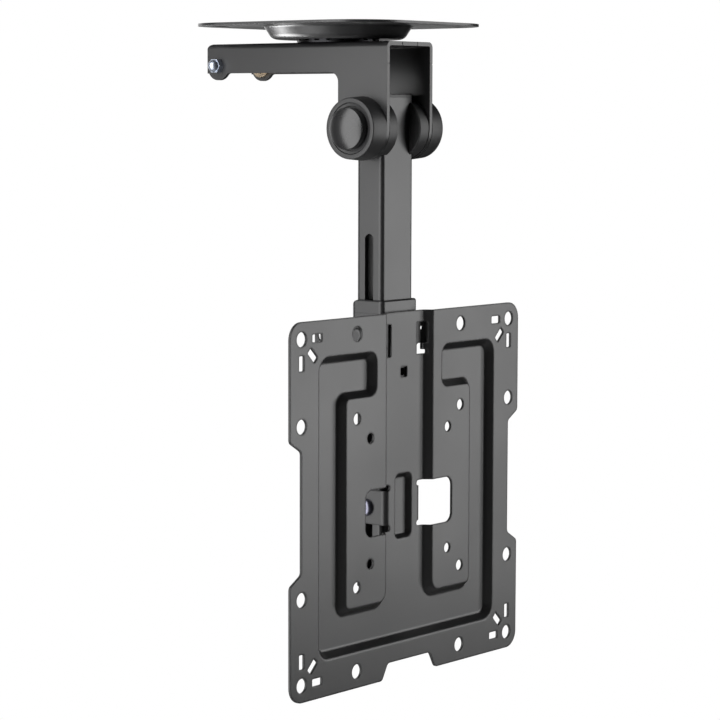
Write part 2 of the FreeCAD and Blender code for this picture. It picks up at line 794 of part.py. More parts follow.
def latch():
    """Folded hook: hubs beside the sleeve, a step inwards, and a nose across the back."""
    outer = sleeve_w / 2 + latch_side_gap
    inner = latch_inner_half - latch_t
    step = pivot_y + sleeve_d / 2 + latch_step_gap
    top = latch_z - latch_arm_top
    bottom = latch_z - latch_arm_bottom
    hub = disc(latch_hub_r, latch_t, Vector(outer, latch_y, latch_z), RIGHT)
    wide = prism([(latch_y, latch_z - latch_hub_r, 0), (step + latch_t, bottom, 0),
                  (step + latch_t, top, 0), (latch_y, latch_z + latch_hub_r, 0)],
                 on_yz(outer), RIGHT * latch_t)
    ledge = Part.makeBox(outer + latch_t - inner, latch_t, top - bottom,
                         Vector(inner, step, bottom))
    notch_y = latch_y + latch_arm_len
    notch_z = top - latch_nose_h
    tip_y = notch_y + latch_nose_lean
    back_y = tip_y + latch_nose_t
    arm = prism([(step, bottom, 0), (notch_y, bottom - latch_arm_fall, 2.0),
                 (back_y, notch_z - latch_nose_t, 1.0), (back_y, top - 0.4, 0.5),
                 (tip_y, top, 0.5), (notch_y, notch_z, 1.5), (step, top, 0)],
                on_yz(inner), RIGHT * latch_t)
    side = joined(hub, wide, ledge, arm)
    side = side.cut(disc(latch_pin_r + latch_pin_fit, 2 * through,
                         Vector(0, latch_y, latch_z), RIGHT))
    bridge = Part.makeBox(2 * inner + latch_t, latch_t, latch_bridge_h,
                          Vector(-inner - latch_t / 2, notch_y,
                                 notch_z - latch_nose_t - latch_bridge_h))
    return joined(side, mirrored(side), bridge)


def latch_screws():
    """Two shoulder screws with round heads, one each side of the sleeve."""
    inner = pole_w / 2 + slide_gap
    outer = sleeve_w / 2 + latch_side_gap + latch_t + latch_shoulder
    shank = disc(latch_pin_r, outer - inner, Vector(inner, latch_y, latch_z), RIGHT)
    head = disc(latch_head_r, latch_head_h, Vector(outer, latch_y, latch_z), RIGHT)
    head = head.makeFillet(latch_head_h - 0.6,
                           circles_at(head, RIGHT, outer + latch_head_h, latch_head_r))
    right = joined(shank, head)
    return Part.makeCompound([mirrored(right), right])


def height_screw():
    """Button-head screw through both tabs and the pole's slots."""
    z = vesa_z + height_screw_z
    start = Vector(-tab_outer_x, pivot_y, z)
    shank = disc(height_screw_r, 2 * tab_outer_x + height_nut_h + 0.8, start, RIGHT)
    head = disc(height_head_r, height_head_h, start, LEFT)
    crown = circles_at(head, RIGHT, start.x - height_head_h, height_head_r)
    head = head.makeFillet(height_head_h - 0.7, crown)
    socket = hexagon(height_socket_af, height_socket_depth, start + LEFT * height_head_h, RIGHT)
    return joined(shank, head).cut(socket)


def height_nut():
    base = Vector(tab_outer_x, pivot_y, vesa_z + height_screw_z)
    return nut(height_nut_af, height_nut_h, height_screw_r, base, RIGHT)


def tray_outline(inset):
    """Edge of the pressed tray, moved inwards; the channel runs out at the top."""
    outer_r = tray_corner_r - inset
    panel_r = panel_corner_r + inset
    step_r = inner_corner_r + inset
    hook_r = inner_corner_r - inset
    x1 = channel_half_x - inset
    x2 = panel_half_x + inset
    x3 = arm_pan_inner_x + inset
    x4 = tray_half_x - inset
    beyond = plate_half + 10
    right = [(x1, beyond, 0), (x1, -panel_half_z - inset, step_r),
             (x2, -panel_half_z - inset, panel_r), (x2, panel_half_z + inset, panel_r),
             (x3, panel_half_z + inset, hook_r), (x3, tray_top - inset, hook_r),
             (x4, tray_top - inset, outer_r), (x4, -tray_bottom + inset, outer_r)]
    left = [(-x, z, r) for x, z, r in reversed(right)]
    return right + left


def groove_outline(inset):
    """Edge of the bead at the middle of the channel."""
    x = groove_half_x - inset
    z = groove_half_z - inset
    r = groove_corner_r - inset
    return [(-x, groove_z - z, r), (x, groove_z - z, r), (x, groove_z + z, r), (-x, groove_z + z, r)]


def pan(outline, run, spread, front, back):
    """Tapered block of a pressed recess, wider by spread, from a front to a back depth."""
    mouth = rounded_wire(outline(-spread), on_xz(front))
    floor = rounded_wire(outline(run - spread), on_xz(back))
    return Part.makeLoft([mouth, floor], True, True)


def edges_on_depth(shape, y):
    """Edges that lie on one plane parallel to the screen."""
    return [e for e in shape.Edges if all(abs(v.Y - y) < 0.01 for v in e.Vertexes)]


def plate_outline():
    """Outline of the screen plate with its side and bottom notches."""
    h = plate_half
    r = plate_corner_r
    n = notch_r
    floor = h - side_notch_deep
    right = [(bottom_notch_floor_x, -floor, n), (bottom_notch_rim_x, -h, n), (h, -h, r),
             (h, -side_notch_rim_z, n), (floor, -side_notch_floor_z, n),
             (floor, side_notch_floor_z, n), (h, side_notch_rim_z, n), (h, h, r)]
    left = [(-x, z, q) for x, z, q in reversed(right)]
    return right + left


def pressed_sheet():
    """Rim, tray, two raised panels and the channel with its bead, without openings."""
    depth = emboss_depth + sheet_t
    blank = prism(plate_outline(), on_xz(rim_front_y), BACK * sheet_t)
    shell = pan(tray_outline, emboss_run, sheet_t * 0.7, rim_front_y, rim_front_y + depth)
    floor_edges = edges_on_depth(shell, rim_front_y + depth)
    shell = shell.makeFillet(emboss_floor_r + sheet_t, floor_edges)
    hollow = pan(tray_outline, emboss_run, 0.0, rim_front_y, floor_front_y)
    hollow = hollow.makeFillet(emboss_floor_r, edges_on_depth(hollow, floor_front_y))
    keep = prism(plate_outline(), on_xz(rim_front_y), BACK * 2 * depth)
    sheet = joined(blank, shell.common(keep)).cut(hollow)
    sheet = sheet.makeFillet(emboss_rim_r, rim_edges(sheet))
    bead = pan(groove_outline, groove_run, sheet_t * 0.5, floor_front_y,
               floor_back_y + groove_depth)
    bead_hollow = pan(groove_outline, groove_run, 0.0, floor_front_y,
                      floor_front_y + groove_depth)
    bead_floor = edges_on_depth(bead_hollow, floor_front_y + groove_depth)
    bead_hollow = bead_hollow.makeFillet(groove_floor_r, bead_floor)
    sheet = joined(sheet, bead).cut(bead_hollow)
    return sheet.makeFillet(groove_rim_r, bead_edges(sheet))


def bead_edges(sheet):
    """Edges where the channel's floor turns down into its bead."""
    reach = groove_half_x + 0.1
    return [e for e in edges_on_depth(sheet, floor_front_y)
            if -reach < e.BoundBox.XMin and e.BoundBox.XMax < reach]


def rim_edges(sheet):
    """Edges where the front face turns down into the tray and the channel."""
    found = []
    for edge in edges_on_depth(sheet, rim_front_y):
        box = edge.BoundBox
        in_x = max(abs(box.XMin), abs(box.XMax)) < tray_half_x + 0.1
        in_z = box.ZMin > vesa_z - tray_bottom - 0.1
        on_top_edge = box.ZMin > plate_top_z - 0.1
        if in_x and in_z and not on_top_edge:
            found.append(edge)
    return found


def plate_punch(corners):
    """Block that cuts an outline right through the screen plate."""
    return prism(corners, on_xz(rim_front_y - 1), BACK * (emboss_depth + 8))


def round_punch(x, z, r):
    """Drill through the screen plate."""
    return disc(r, emboss_depth + 8, Vector(x, rim_front_y - 1, vesa_z + z), BACK)


def ray_slots():
    """Three slots round the right upper corner hole, each pointing at the hole."""
    slots = []
    half = ray_slot_len / 2
    wide = ray_slot_w / 2
    for turn in (180, 225, 270):
        ray = Vector(cos(radians(turn)), sin(radians(turn)), 0)
        across = Vector(-ray.y, ray.x, 0)
        centre = Vector(vesa_wide / 2, vesa_wide / 2, 0) + ray * ray_slot_at
        corners = []
        for u, v in ((-half, -wide), (half, -wide), (half, wide), (-half, wide)):
            p = centre + ray * u + across * v
            corners.append((p.x, p.y, ray_slot_round))
        slots.append(plate_punch(corners))
    return slots


def in_all_corners(shape):
    """The shape with its copies in the other three corners of the screen plate."""
    right = [shape, shape.mirror(Vector(0, 0, vesa_z), UP)]
    return right + [mirrored(s) for s in right]


def lower_window():
    """Right window beside the bead, with round notches at the tab's root."""
    low = window_z - window_half_z
    high = window_z + window_half_z
    window = plate_punch([(window_inner_x, low, 0), (window_outer_x, low, window_r),
                          (window_outer_x, high, window_r), (window_inner_x, high, 0)])
    for z in (low + window_notch_r, high - window_notch_r):
        window = window.fuse(round_punch(window_inner_x, z, window_notch_r))
    return window


def tab():
    """Right tab, bent back from the window's inner edge."""
    half = window_half_z - 2 * window_notch_r
    root = tab_outer_x - tab_bend_r - 1
    tip = pivot_y + tab_behind_axis
    bend = prism([(root, floor_front_y, 0), (tab_outer_x, floor_front_y, tab_bend_r),
                  (tab_outer_x, tip, 0), (tab_inner_x, tip, 0),
                  (tab_inner_x, floor_back_y, tab_bend_r - sheet_t), (root, floor_back_y, 0)],
                 on_xy(vesa_z + window_z - half), UP * 2 * half)
    face = prism([(floor_front_y - 1, vesa_z + window_z - half, 0),
                  (tip, vesa_z + window_z - half, tab_corner_r),
                  (tip, vesa_z + window_z + half, tab_corner_r),
                  (floor_front_y - 1, vesa_z + window_z + half, 0)], on_yz(0), RIGHT * through)
    hole = disc(height_screw_r, through, Vector(0, pivot_y, vesa_z + height_screw_z), RIGHT)
    return bend.common(face).cut(hole)


def top_window():
    """Right window over the hanger's ear, with a tooth left in the channel's wall."""
    r = window_round
    return plate_punch([(top_window_inner_x, top_window_bottom, r),
                        (top_window_outer_x, top_window_bottom, r),
                        (top_window_outer_x, tooth_bottom, r), (tooth_inner_x, tooth_bottom, r),
                        (tooth_inner_x, tooth_top, r), (top_window_outer_x, tooth_top, r),
                        (top_window_outer_x, top_window_top, r),
                        (top_window_inner_x, top_window_top, r)])


def screen_plate():
    """Pressed sheet with hole patterns, slots, windows and the two bent tabs."""
    plate = pressed_sheet()
    punches = []
    far = vesa_wide / 2
    near = vesa_middle / 2
    close = vesa_small / 2
    for x, z in ((far, far), (far, near), (near, far)):
        punches += in_all_corners(round_punch(x, z, vesa_hole_r))
    punches += in_all_corners(round_punch(near, near, inner_hole_r))
    punches += in_all_corners(round_punch(close, close, small_hole_r))
    for slot in ray_slots():
        punches += in_all_corners(slot)
    window = lower_window()
    over = top_window()
    half = hanger_hole_w / 2
    square = plate_punch(rectangle(-half, hanger_hole_z - half, half, hanger_hole_z + half,
                                   hanger_hole_round))
    root = tab_outer_x - tab_bend_r
    clear = window_half_z - 2 * window_notch_r
    step = plate_punch(rectangle(root, window_z - clear, window_inner_x + 1, window_z + clear))
    punches += [window, mirrored(window), over, mirrored(over), square, step, mirrored(step)]
    for punch in punches:
        plate = plate.cut(punch)
    side = tab()
    return joined(plate, side, mirrored(side))


def save(name, shape):
    """Write one piece."""
    shape.exportStep("parts/" + name + ".step")


def main():
    os.makedirs("parts", exist_ok=True)
    right_cover = pivot_cover()
    right_cap = pivot_cap()
    right_cheek = pivot_cheek()
    pieces = {
        "ceiling_plate": ceiling_plate(),
        "swivel_bolt": swivel_bolt(),
        "swivel_thrust_washer": swivel_thrust_washer(),
        "swivel_lower_washer": swivel_lower_washer(),
        "swivel_steel_washer": swivel_steel_washer(),
        "swivel_nut": swivel_nut(),
        "arm_bracket": arm_bracket(),
        "end_bolt": end_bolt(),
        "end_cap_nut": end_cap_nut(),
        "end_spacer": end_spacer(),
        "pivot_bolt": pivot_bolt(),
        "pivot_nut": pivot_nut(),
        "pivot_washers": pivot_washers(),
        "pivot_cover_right": right_cover,
        "pivot_cover_left": mirrored(right_cover),
        "pivot_cap_right": right_cap,
        "pivot_cap_left": mirrored(right_cap),
        "pivot_cheek_right": right_cheek,
        "pivot_cheek_left": mirrored(right_cheek),
        "pole_tube": pole_tube(),
        "pole_top_plug": pole_top_plug(),
        "pole_bottom_plug": pole_bottom_plug(),
        "pivot_spacer": pivot_spacer(),
        "sleeve": sleeve(),
        "sleeve_collar": sleeve_collar(),
        "sleeve_hanger": sleeve_hanger(),
        "latch": latch(),
        "latch_screws": latch_screws(),
        "height_screw": height_screw(),
        "height_nut": height_nut(),
        "screen_plate": screen_plate(),
    }
    for name, shape in pieces.items():
        volume = shape.Volume / 1000
        print(name, len(shape.Solids), "solids", round(volume, 2), "cm3", shape.isValid())
        save(name, shape)


main()
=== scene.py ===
"""Studio scene of the folding ceiling mount: finishes, turned pieces, light and camera."""
import json
import math

import bpy
from mathutils import Euler, Matrix, Vector


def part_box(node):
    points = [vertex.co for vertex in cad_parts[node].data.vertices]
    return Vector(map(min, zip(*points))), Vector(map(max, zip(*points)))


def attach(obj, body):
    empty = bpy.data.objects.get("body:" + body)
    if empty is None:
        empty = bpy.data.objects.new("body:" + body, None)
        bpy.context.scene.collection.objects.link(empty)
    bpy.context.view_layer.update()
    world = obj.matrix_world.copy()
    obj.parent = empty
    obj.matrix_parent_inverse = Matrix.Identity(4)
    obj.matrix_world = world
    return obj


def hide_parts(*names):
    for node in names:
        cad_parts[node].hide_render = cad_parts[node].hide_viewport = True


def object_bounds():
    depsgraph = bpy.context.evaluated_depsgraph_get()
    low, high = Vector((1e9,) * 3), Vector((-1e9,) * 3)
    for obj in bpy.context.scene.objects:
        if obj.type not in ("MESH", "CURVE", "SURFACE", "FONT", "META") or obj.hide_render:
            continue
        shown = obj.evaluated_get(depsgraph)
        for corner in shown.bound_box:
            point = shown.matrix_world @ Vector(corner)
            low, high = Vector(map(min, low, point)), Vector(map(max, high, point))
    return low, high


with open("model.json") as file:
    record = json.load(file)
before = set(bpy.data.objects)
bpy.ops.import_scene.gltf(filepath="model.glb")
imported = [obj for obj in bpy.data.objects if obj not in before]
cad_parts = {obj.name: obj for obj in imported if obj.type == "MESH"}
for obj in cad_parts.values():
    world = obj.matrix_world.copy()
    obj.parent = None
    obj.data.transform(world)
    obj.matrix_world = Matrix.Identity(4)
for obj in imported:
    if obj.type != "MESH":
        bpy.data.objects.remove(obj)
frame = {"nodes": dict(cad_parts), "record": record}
cad_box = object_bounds()

MM = 0.001

# Camera, from the spacing of the screen plate's holes in the picture.
CAMERA_PLACE = Vector((-1.18293, -0.98350, -0.05381))
CAMERA_YAW = math.radians(-50.77)
CAMERA_PITCH = math.radians(-5.58)
CAMERA_ROLL = math.radians(0.15)
FOCAL_PIXELS = 2522.0
IMAGE_PIXELS = 720.0
SENSOR_MM = 36.0
CLIP_NEAR = 0.05
CLIP_FAR = 60.0

# Floor: metres, and the share of it that the camera sees as plain white, which at 1 hides shadows.
FLOOR_BELOW = 1.4
FLOOR_HALF = 12.0
FLOOR_WHITE = 1.0
FLOOR_TONE = 0.5
FLOOR_ROUGHNESS = 0.9

# World: levels where 1 is white, the way to the backdrop, and the cosines where its edge fades.
WHITE = (1.0, 1.0, 1.0, 1.0)
ROOM_LEVEL = 0.02
BACKDROP_LEVEL = 1.3
BACKDROP_WAY = (0.775, 0.632, 0.0)
BACKDROP_EDGE = (0.93, 0.985)

# Lamps aimed at the object's middle: metres and watts.
SOFTBOXES = {
    "front_softbox": dict(way=(0.67, -0.74, 0.08), far=1.7, wide=1.1, high=1.3, power=18.7),
    "side_softbox": dict(way=(-0.978, 0.208, 0.05), far=1.0, wide=1.05, high=3.2, power=42.0),
    "fill_card": dict(way=(-0.76, -0.63, -0.48), far=1.6, wide=2.0, high=0.9, power=0.8),
    "back_softbox": dict(way=(0.35, 0.93, 0.10), far=1.6, wide=1.3, high=1.6, power=9.0),
}

# Card aimed at the dish from below and behind: metres and watts. The dish's middle, millimetres.
DISH_CARD = dict(way=(-0.03, 0.75, -0.65), far=0.9, wide=0.45, high=0.40, power=8.5)
DISH_MIDDLE_Z = -10.0

# Colours, linear.
COAT_COLOUR = (0.016, 0.016, 0.0165)
PLASTIC_COLOUR = (0.014, 0.014, 0.0145)
ZINC_COLOUR = (0.46, 0.50, 0.58)
YELLOW_ZINC_COLOUR = (0.36, 0.29, 0.21)
BLACK_ZINC_COLOUR = (0.028, 0.028, 0.03)
# Painted shade: a darker copy of the bright zinc for the height screw, which sits in shade behind the
# screen plate.
SHADE_PAINTED_ZINC_COLOUR = (0.15, 0.15, 0.19)

# Grain and patches of the skins; the grain's depth in millimetres.
GRAIN_DEEP = 0.05
GRAIN_DETAIL = 2.0
GRAIN_ROUGHNESS = 0.6
PATCH_DETAIL = 3.0
PATCH_RANGE = (0.3, 0.7)
BEVEL_SAMPLES = 4

# Pivot cover, millimetres.
COVER_FOOT_ROUND = 0.15
COVER_RIM_R = 18.1
COVER_RIM_ROUND = 0.8
COVER_BOWL_R = 14.9
COVER_LIP_ROUND = 0.75
COVER_LEDGE_DEEP = 0.8
COVER_LEDGE_FALL = 0.12
COVER_LEDGE_ROUND = 0.12
COVER_SEAT_R = 13.1
COVER_SEAT_DEEP = 1.8
COVER_SEAT_LIP_ROUND = 0.2
COVER_SEAT_ROUND = 0.1
COVER_POCKET_R = 9.6
COVER_POCKET_ROUND = 0.2

# Cap in the cover, millimetres.
CAP_R = 12.4
CAP_RISE = 3.2
CAP_EDGE_ROUND = 0.5
CAP_DOME_INSET = 0.6
CAP_STEM_R = 9.4
CAP_STEM_DEEP = 1.6
CAP_STEM_WALL = 1.2

# Turned pieces: steps of a corner, a dome and a turn, millimetres, and the angle of a sharp edge.
ARC_STEPS = 6
DOME_STEPS = 14
TURNED_STEPS = 144
CIRCLE_R = 15.0
WELD_WITHIN = 0.002
CREASE = math.radians(35.0)


def socket(group, name, kind, inside=True):
    """Adds a named socket to a node group."""
    side = "INPUT" if inside else "OUTPUT"
    group.interface.new_socket(name=name, in_out=side, socket_type=kind)


def linked(tree, start, end):
    """Joins two sockets."""
    tree.links.new(start, end)


def grain_group():
    """Fine pebbled grain of a coated, moulded or plated skin, and its slow patches."""
    group = bpy.data.node_groups.new("skin_grain", "ShaderNodeTree")
    socket(group, "Vector", "NodeSocketVector")
    socket(group, "Grains per metre", "NodeSocketFloat")
    socket(group, "Patches per metre", "NodeSocketFloat")
    socket(group, "Height", "NodeSocketFloat", inside=False)
    socket(group, "Patches", "NodeSocketFloat", inside=False)
    nodes = group.nodes
    start = nodes.new("NodeGroupInput")
    end = nodes.new("NodeGroupOutput")
    pebble = nodes.new("ShaderNodeTexNoise")
    pebble.inputs["Detail"].default_value = GRAIN_DETAIL
    pebble.inputs["Roughness"].default_value = GRAIN_ROUGHNESS
    patch = nodes.new("ShaderNodeTexNoise")
    patch.inputs["Detail"].default_value = PATCH_DETAIL
    linked(group, start.outputs["Vector"], pebble.inputs["Vector"])
    linked(group, start.outputs["Grains per metre"], pebble.inputs["Scale"])
    linked(group, start.outputs["Vector"], patch.inputs["Vector"])
    linked(group, start.outputs["Patches per metre"], patch.inputs["Scale"])
    linked(group, pebble.outputs["Fac"], end.inputs["Height"])
    linked(group, patch.outputs["Fac"], end.inputs["Patches"])
    return group


def tone_group():
    """Spreads tone and roughness between two values of each by a mask."""
    group = bpy.data.node_groups.new("tone_spread", "ShaderNodeTree")
    socket(group, "Mask", "NodeSocketFloat")
    socket(group, "Darker", "NodeSocketColor")
    socket(group, "Lighter", "NodeSocketColor")
    socket(group, "Dull", "NodeSocketFloat")
    socket(group, "Bright", "NodeSocketFloat")
    socket(group, "Colour", "NodeSocketColor", inside=False)
    socket(group, "Roughness", "NodeSocketFloat", inside=False)
    nodes = group.nodes
    start = nodes.new("NodeGroupInput")
    end = nodes.new("NodeGroupOutput")
    spread = nodes.new("ShaderNodeMapRange")
    spread.inputs["From Min"].default_value = PATCH_RANGE[0]
    spread.inputs["From Max"].default_value = PATCH_RANGE[1]
    tone = nodes.new("ShaderNodeMix")
    tone.data_type = "RGBA"
    shine = nodes.new("ShaderNodeMix")
    linked(group, start.outputs["Mask"], spread.inputs["Value"])
    linked(group, spread.outputs["Result"], tone.inputs["Factor"])
    linked(group, start.outputs["Darker"], tone.inputs["A"])
    linked(group, start.outputs["Lighter"], tone.inputs["B"])
    linked(group, spread.outputs["Result"], shine.inputs["Factor"])
    linked(group, start.outputs["Dull"], shine.inputs["A"])
    linked(group, start.outputs["Bright"], shine.inputs["B"])
    linked(group, tone.outputs["Result"], end.inputs["Colour"])
    linked(group, shine.outputs["Result"], end.inputs["Roughness"])
    return group


SKIN_GRAIN = grain_group()
TONE_SPREAD = tone_group()


def shade(colour, factor):
    """The colour, lighter or darker, with full alpha."""
    return tuple(min(1.0, c * factor) for c in colour) + (1.0,)


def finish(name, colour, grains, bump, dull, bright, edge, metallic=0.0, spread=0.06,
           patches=14.0, ior=1.5):
    """Material with a grained skin; edge is its rounding in millimetres. Tone and gloss vary slowly."""
    material = bpy.data.materials.new(name)
    material.use_nodes = True
    tree = material.node_tree
    nodes = tree.nodes
    surface = nodes["Principled BSDF"]
    place = nodes.new("ShaderNodeTexCoord")
    grain = nodes.new("ShaderNodeGroup")
    grain.node_tree = SKIN_GRAIN
    grain.inputs["Grains per metre"].default_value = grains
    grain.inputs["Patches per metre"].default_value = patches
    tone = nodes.new("ShaderNodeGroup")
    tone.node_tree = TONE_SPREAD
    tone.inputs["Darker"].default_value = shade(colour, 1.0 - spread)
    tone.inputs["Lighter"].default_value = shade(colour, 1.0 + spread)
    tone.inputs["Dull"].default_value = dull
    tone.inputs["Bright"].default_value = bright
    rounding = nodes.new("ShaderNodeBevel")
    rounding.samples = BEVEL_SAMPLES
    rounding.inputs["Radius"].default_value = edge * MM
    relief = nodes.new("ShaderNodeBump")
    relief.inputs["Strength"].default_value = bump
    relief.inputs["Distance"].default_value = GRAIN_DEEP * MM
    linked(tree, place.outputs["Object"], grain.inputs["Vector"])
    linked(tree, grain.outputs["Patches"], tone.inputs["Mask"])
    linked(tree, grain.outputs["Height"], relief.inputs["Height"])
    linked(tree, rounding.outputs["Normal"], relief.inputs["Normal"])
    linked(tree, tone.outputs["Colour"], surface.inputs["Base Color"])
    linked(tree, tone.outputs["Roughness"], surface.inputs["Roughness"])
    linked(tree, relief.outputs["Normal"], surface.inputs["Normal"])
    surface.inputs["Metallic"].default_value = metallic
    surface.inputs["IOR"].default_value = ior
    return material


def coat(name, edge):
    """Black powder coat; a pressed edge looks rounder than a cut one."""
    return finish(name, COAT_COLOUR, grains=1500.0, bump=0.30, dull=0.36, bright=0.31, edge=edge)


def plating(name, colour, dull, bright, spread=0.10, patches=160.0):
    """Zinc plating with small clouds of tone and gloss."""
    return finish(name, colour, grains=900.0, bump=0.08, dull=dull, bright=bright, edge=0.20,
                  metallic=1.0, spread=spread, patches=patches)


POWDER_COAT = coat("powder_coat", 0.35)
PRESSED_COAT = coat("pressed_coat", 1.4)
MOULDED_PLASTIC = finish("moulded_plastic", PLASTIC_COLOUR, grains=2200.0, bump=0.12, dull=0.50,
                         bright=0.44, edge=0.20)
BRIGHT_ZINC = plating("bright_zinc", ZINC_COLOUR, dull=0.46, bright=0.36)
YELLOW_ZINC = plating("yellow_zinc", YELLOW_ZINC_COLOUR, dull=0.34, bright=0.22, spread=0.16,
                      patches=220.0)
GLOSSY_PLASTIC = finish("glossy_plastic", PLASTIC_COLOUR, grains=2600.0, bump=0.04, dull=0.30,
                        bright=0.25, edge=0.10, ior=1.56)
# Painted shade: the same zinc made darker, so the height screw's reflection stays dim.
SHADE_PAINTED_ZINC = plating("shade_painted_zinc", SHADE_PAINTED_ZINC_COLOUR, dull=0.40, bright=0.30)
BLACK_ZINC = plating("black_zinc", BLACK_ZINC_COLOUR, dull=0.38, bright=0.30)

FINISH_OF_SLOT = {
    "powder_coat": POWDER_COAT,
    "black_plastic": MOULDED_PLASTIC,
    "zinc": BRIGHT_ZINC,
    "yellow_zinc": YELLOW_ZINC,
}

FINISH_OF_NODE = {
    "swivel_thrust_washer": BLACK_ZINC,
    # Painted shade: the height screw gets the darkened copy of the zinc.
    "height_screw": SHADE_PAINTED_ZINC,
    "screen_plate": PRESSED_COAT,
}


def dress_nodes():
    """Gives each solid its own finish, or else the finish of its slot in the record."""
    for part in frame["record"]["subparts"]:
        skin = FINISH_OF_NODE.get(part["node"], FINISH_OF_SLOT[part["material_slot"]])
        node = frame["nodes"][part["node"]]
        node.data.materials.clear()
        node.data.materials.append(skin)


def turned_tree():
    """Turns a profile about Z: its own X is the distance from a circle, its Y the height."""
    tree = bpy.data.node_groups.new("turned_piece", "GeometryNodeTree")
    socket(tree, "Profile", "NodeSocketGeometry")
    socket(tree, "Circle radius", "NodeSocketFloat")
    socket(tree, "Steps", "NodeSocketInt")
    socket(tree, "Place", "NodeSocketVector")
    socket(tree, "Turn", "NodeSocketRotation")
    socket(tree, "Finish", "NodeSocketMaterial")
    socket(tree, "Solid", "NodeSocketGeometry", inside=False)
    nodes = tree.nodes
    start = nodes.new("NodeGroupInput")
    end = nodes.new("NodeGroupOutput")
    circle = nodes.new("GeometryNodeCurvePrimitiveCircle")
    outline = nodes.new("GeometryNodeMeshToCurve")
    sweep = nodes.new("GeometryNodeCurveToMesh")
    weld = nodes.new("GeometryNodeMergeByDistance")
    weld.inputs["Distance"].default_value = WELD_WITHIN * MM
    smooth = nodes.new("GeometryNodeSetShadeSmooth")
    angle = nodes.new("GeometryNodeInputMeshEdgeAngle")
    crease = nodes.new("FunctionNodeCompare")
    crease.inputs["B"].default_value = CREASE
    sharp = nodes.new("GeometryNodeSetShadeSmooth")
    sharp.domain = "EDGE"
    sharp.inputs["Shade Smooth"].default_value = False
    move = nodes.new("GeometryNodeTransform")
    real = nodes.new("GeometryNodeRealizeInstances")
    dress = nodes.new("GeometryNodeSetMaterial")
    linked(tree, start.outputs["Steps"], circle.inputs["Resolution"])
    linked(tree, start.outputs["Circle radius"], circle.inputs["Radius"])
    linked(tree, start.outputs["Profile"], outline.inputs["Mesh"])
    linked(tree, circle.outputs["Curve"], sweep.inputs["Curve"])
    linked(tree, outline.outputs["Curve"], sweep.inputs["Profile Curve"])
    linked(tree, sweep.outputs["Mesh"], weld.inputs["Geometry"])
    linked(tree, weld.outputs["Geometry"], smooth.inputs["Geometry"])
    linked(tree, smooth.outputs["Geometry"], sharp.inputs["Geometry"])
    linked(tree, angle.outputs["Unsigned Angle"], crease.inputs["A"])
    linked(tree, crease.outputs["Result"], sharp.inputs["Selection"])
    linked(tree, sharp.outputs["Geometry"], move.inputs["Geometry"])
    linked(tree, start.outputs["Place"], move.inputs["Translation"])
    linked(tree, start.outputs["Turn"], move.inputs["Rotation"])
    linked(tree, move.outputs["Geometry"], real.inputs["Geometry"])
    linked(tree, real.outputs["Geometry"], dress.inputs["Geometry"])
    linked(tree, start.outputs["Finish"], dress.inputs["Material"])
    linked(tree, dress.outputs["Geometry"], end.inputs["Solid"])
    return tree


TURNED_PIECE = turned_tree()


def made(name, tree, profile, values):
    """Plain mesh piece from a geometry tree; its inputs are set by their identifiers."""
    seed = bpy.data.objects.new(name + "_rule", profile)
    bpy.context.scene.collection.objects.link(seed)
    rule = seed.modifiers.new("rule", "NODES")
    rule.node_group = tree
    for item in tree.interface.items_tree:
        if item.in_out == "INPUT" and item.name in values:
            rule[item.identifier] = values[item.name]
    seen = bpy.context.evaluated_depsgraph_get()
    mesh = bpy.data.meshes.new_from_object(seed.evaluated_get(seen))
    bpy.data.objects.remove(seed)
    mesh.name = name
    piece = bpy.data.objects.new(name, mesh)
    bpy.context.scene.collection.objects.link(piece)
    return piece


def rounded(corners):
    """Points of an outline; each corner is (x, y, radius), with an arc where the radius isn't 0."""
    points = []
    count = len(corners)
    for i, (x, y, r) in enumerate(corners):
        here = Vector((x, y))
        if r <= 0.0:
            points.append(here)
            continue
        back = (Vector(corners[i - 1][:2]) - here).normalized()
        ahead = (Vector(corners[(i + 1) % count][:2]) - here).normalized()
        half = back.angle(ahead) / 2
        centre = here + (back + ahead).normalized() * (r / math.sin(half))
        first = here + back * (r / math.tan(half)) - centre
        last = here + ahead * (r / math.tan(half)) - centre
        sweep = first.angle_signed(last)
        for k in range(ARC_STEPS + 1):
            points.append(centre + Matrix.Rotation(-sweep * k / ARC_STEPS, 2) @ first)
    return points


def profile_mesh(name, points, closed):
    """Edges through the points, in the XY plane."""
    mesh = bpy.data.meshes.new(name)
    edges = [(i, i + 1) for i in range(len(points) - 1)]
    if closed:
        edges.append((len(points) - 1, 0))
    mesh.from_pydata([(p.x, p.y, 0.0) for p in points], edges, [])
    return mesh


def cover_profile(depth, foot_r):
    """Closed outline of the pivot cover, heights from the arm."""
    ledge = depth - COVER_LEDGE_DEEP
    seat = depth - COVER_SEAT_DEEP
    return rounded([
        (COVER_POCKET_R, 0.0, 0.0),
        (foot_r, 0.0, COVER_FOOT_ROUND),
        (COVER_RIM_R, depth, COVER_RIM_ROUND),
        (COVER_BOWL_R, depth, COVER_LIP_ROUND),
        (COVER_BOWL_R, ledge, COVER_LEDGE_ROUND),
        (COVER_SEAT_R, ledge - COVER_LEDGE_FALL, COVER_SEAT_LIP_ROUND),
        (COVER_SEAT_R, seat, COVER_SEAT_ROUND),
        (COVER_POCKET_R, seat, COVER_POCKET_ROUND)])


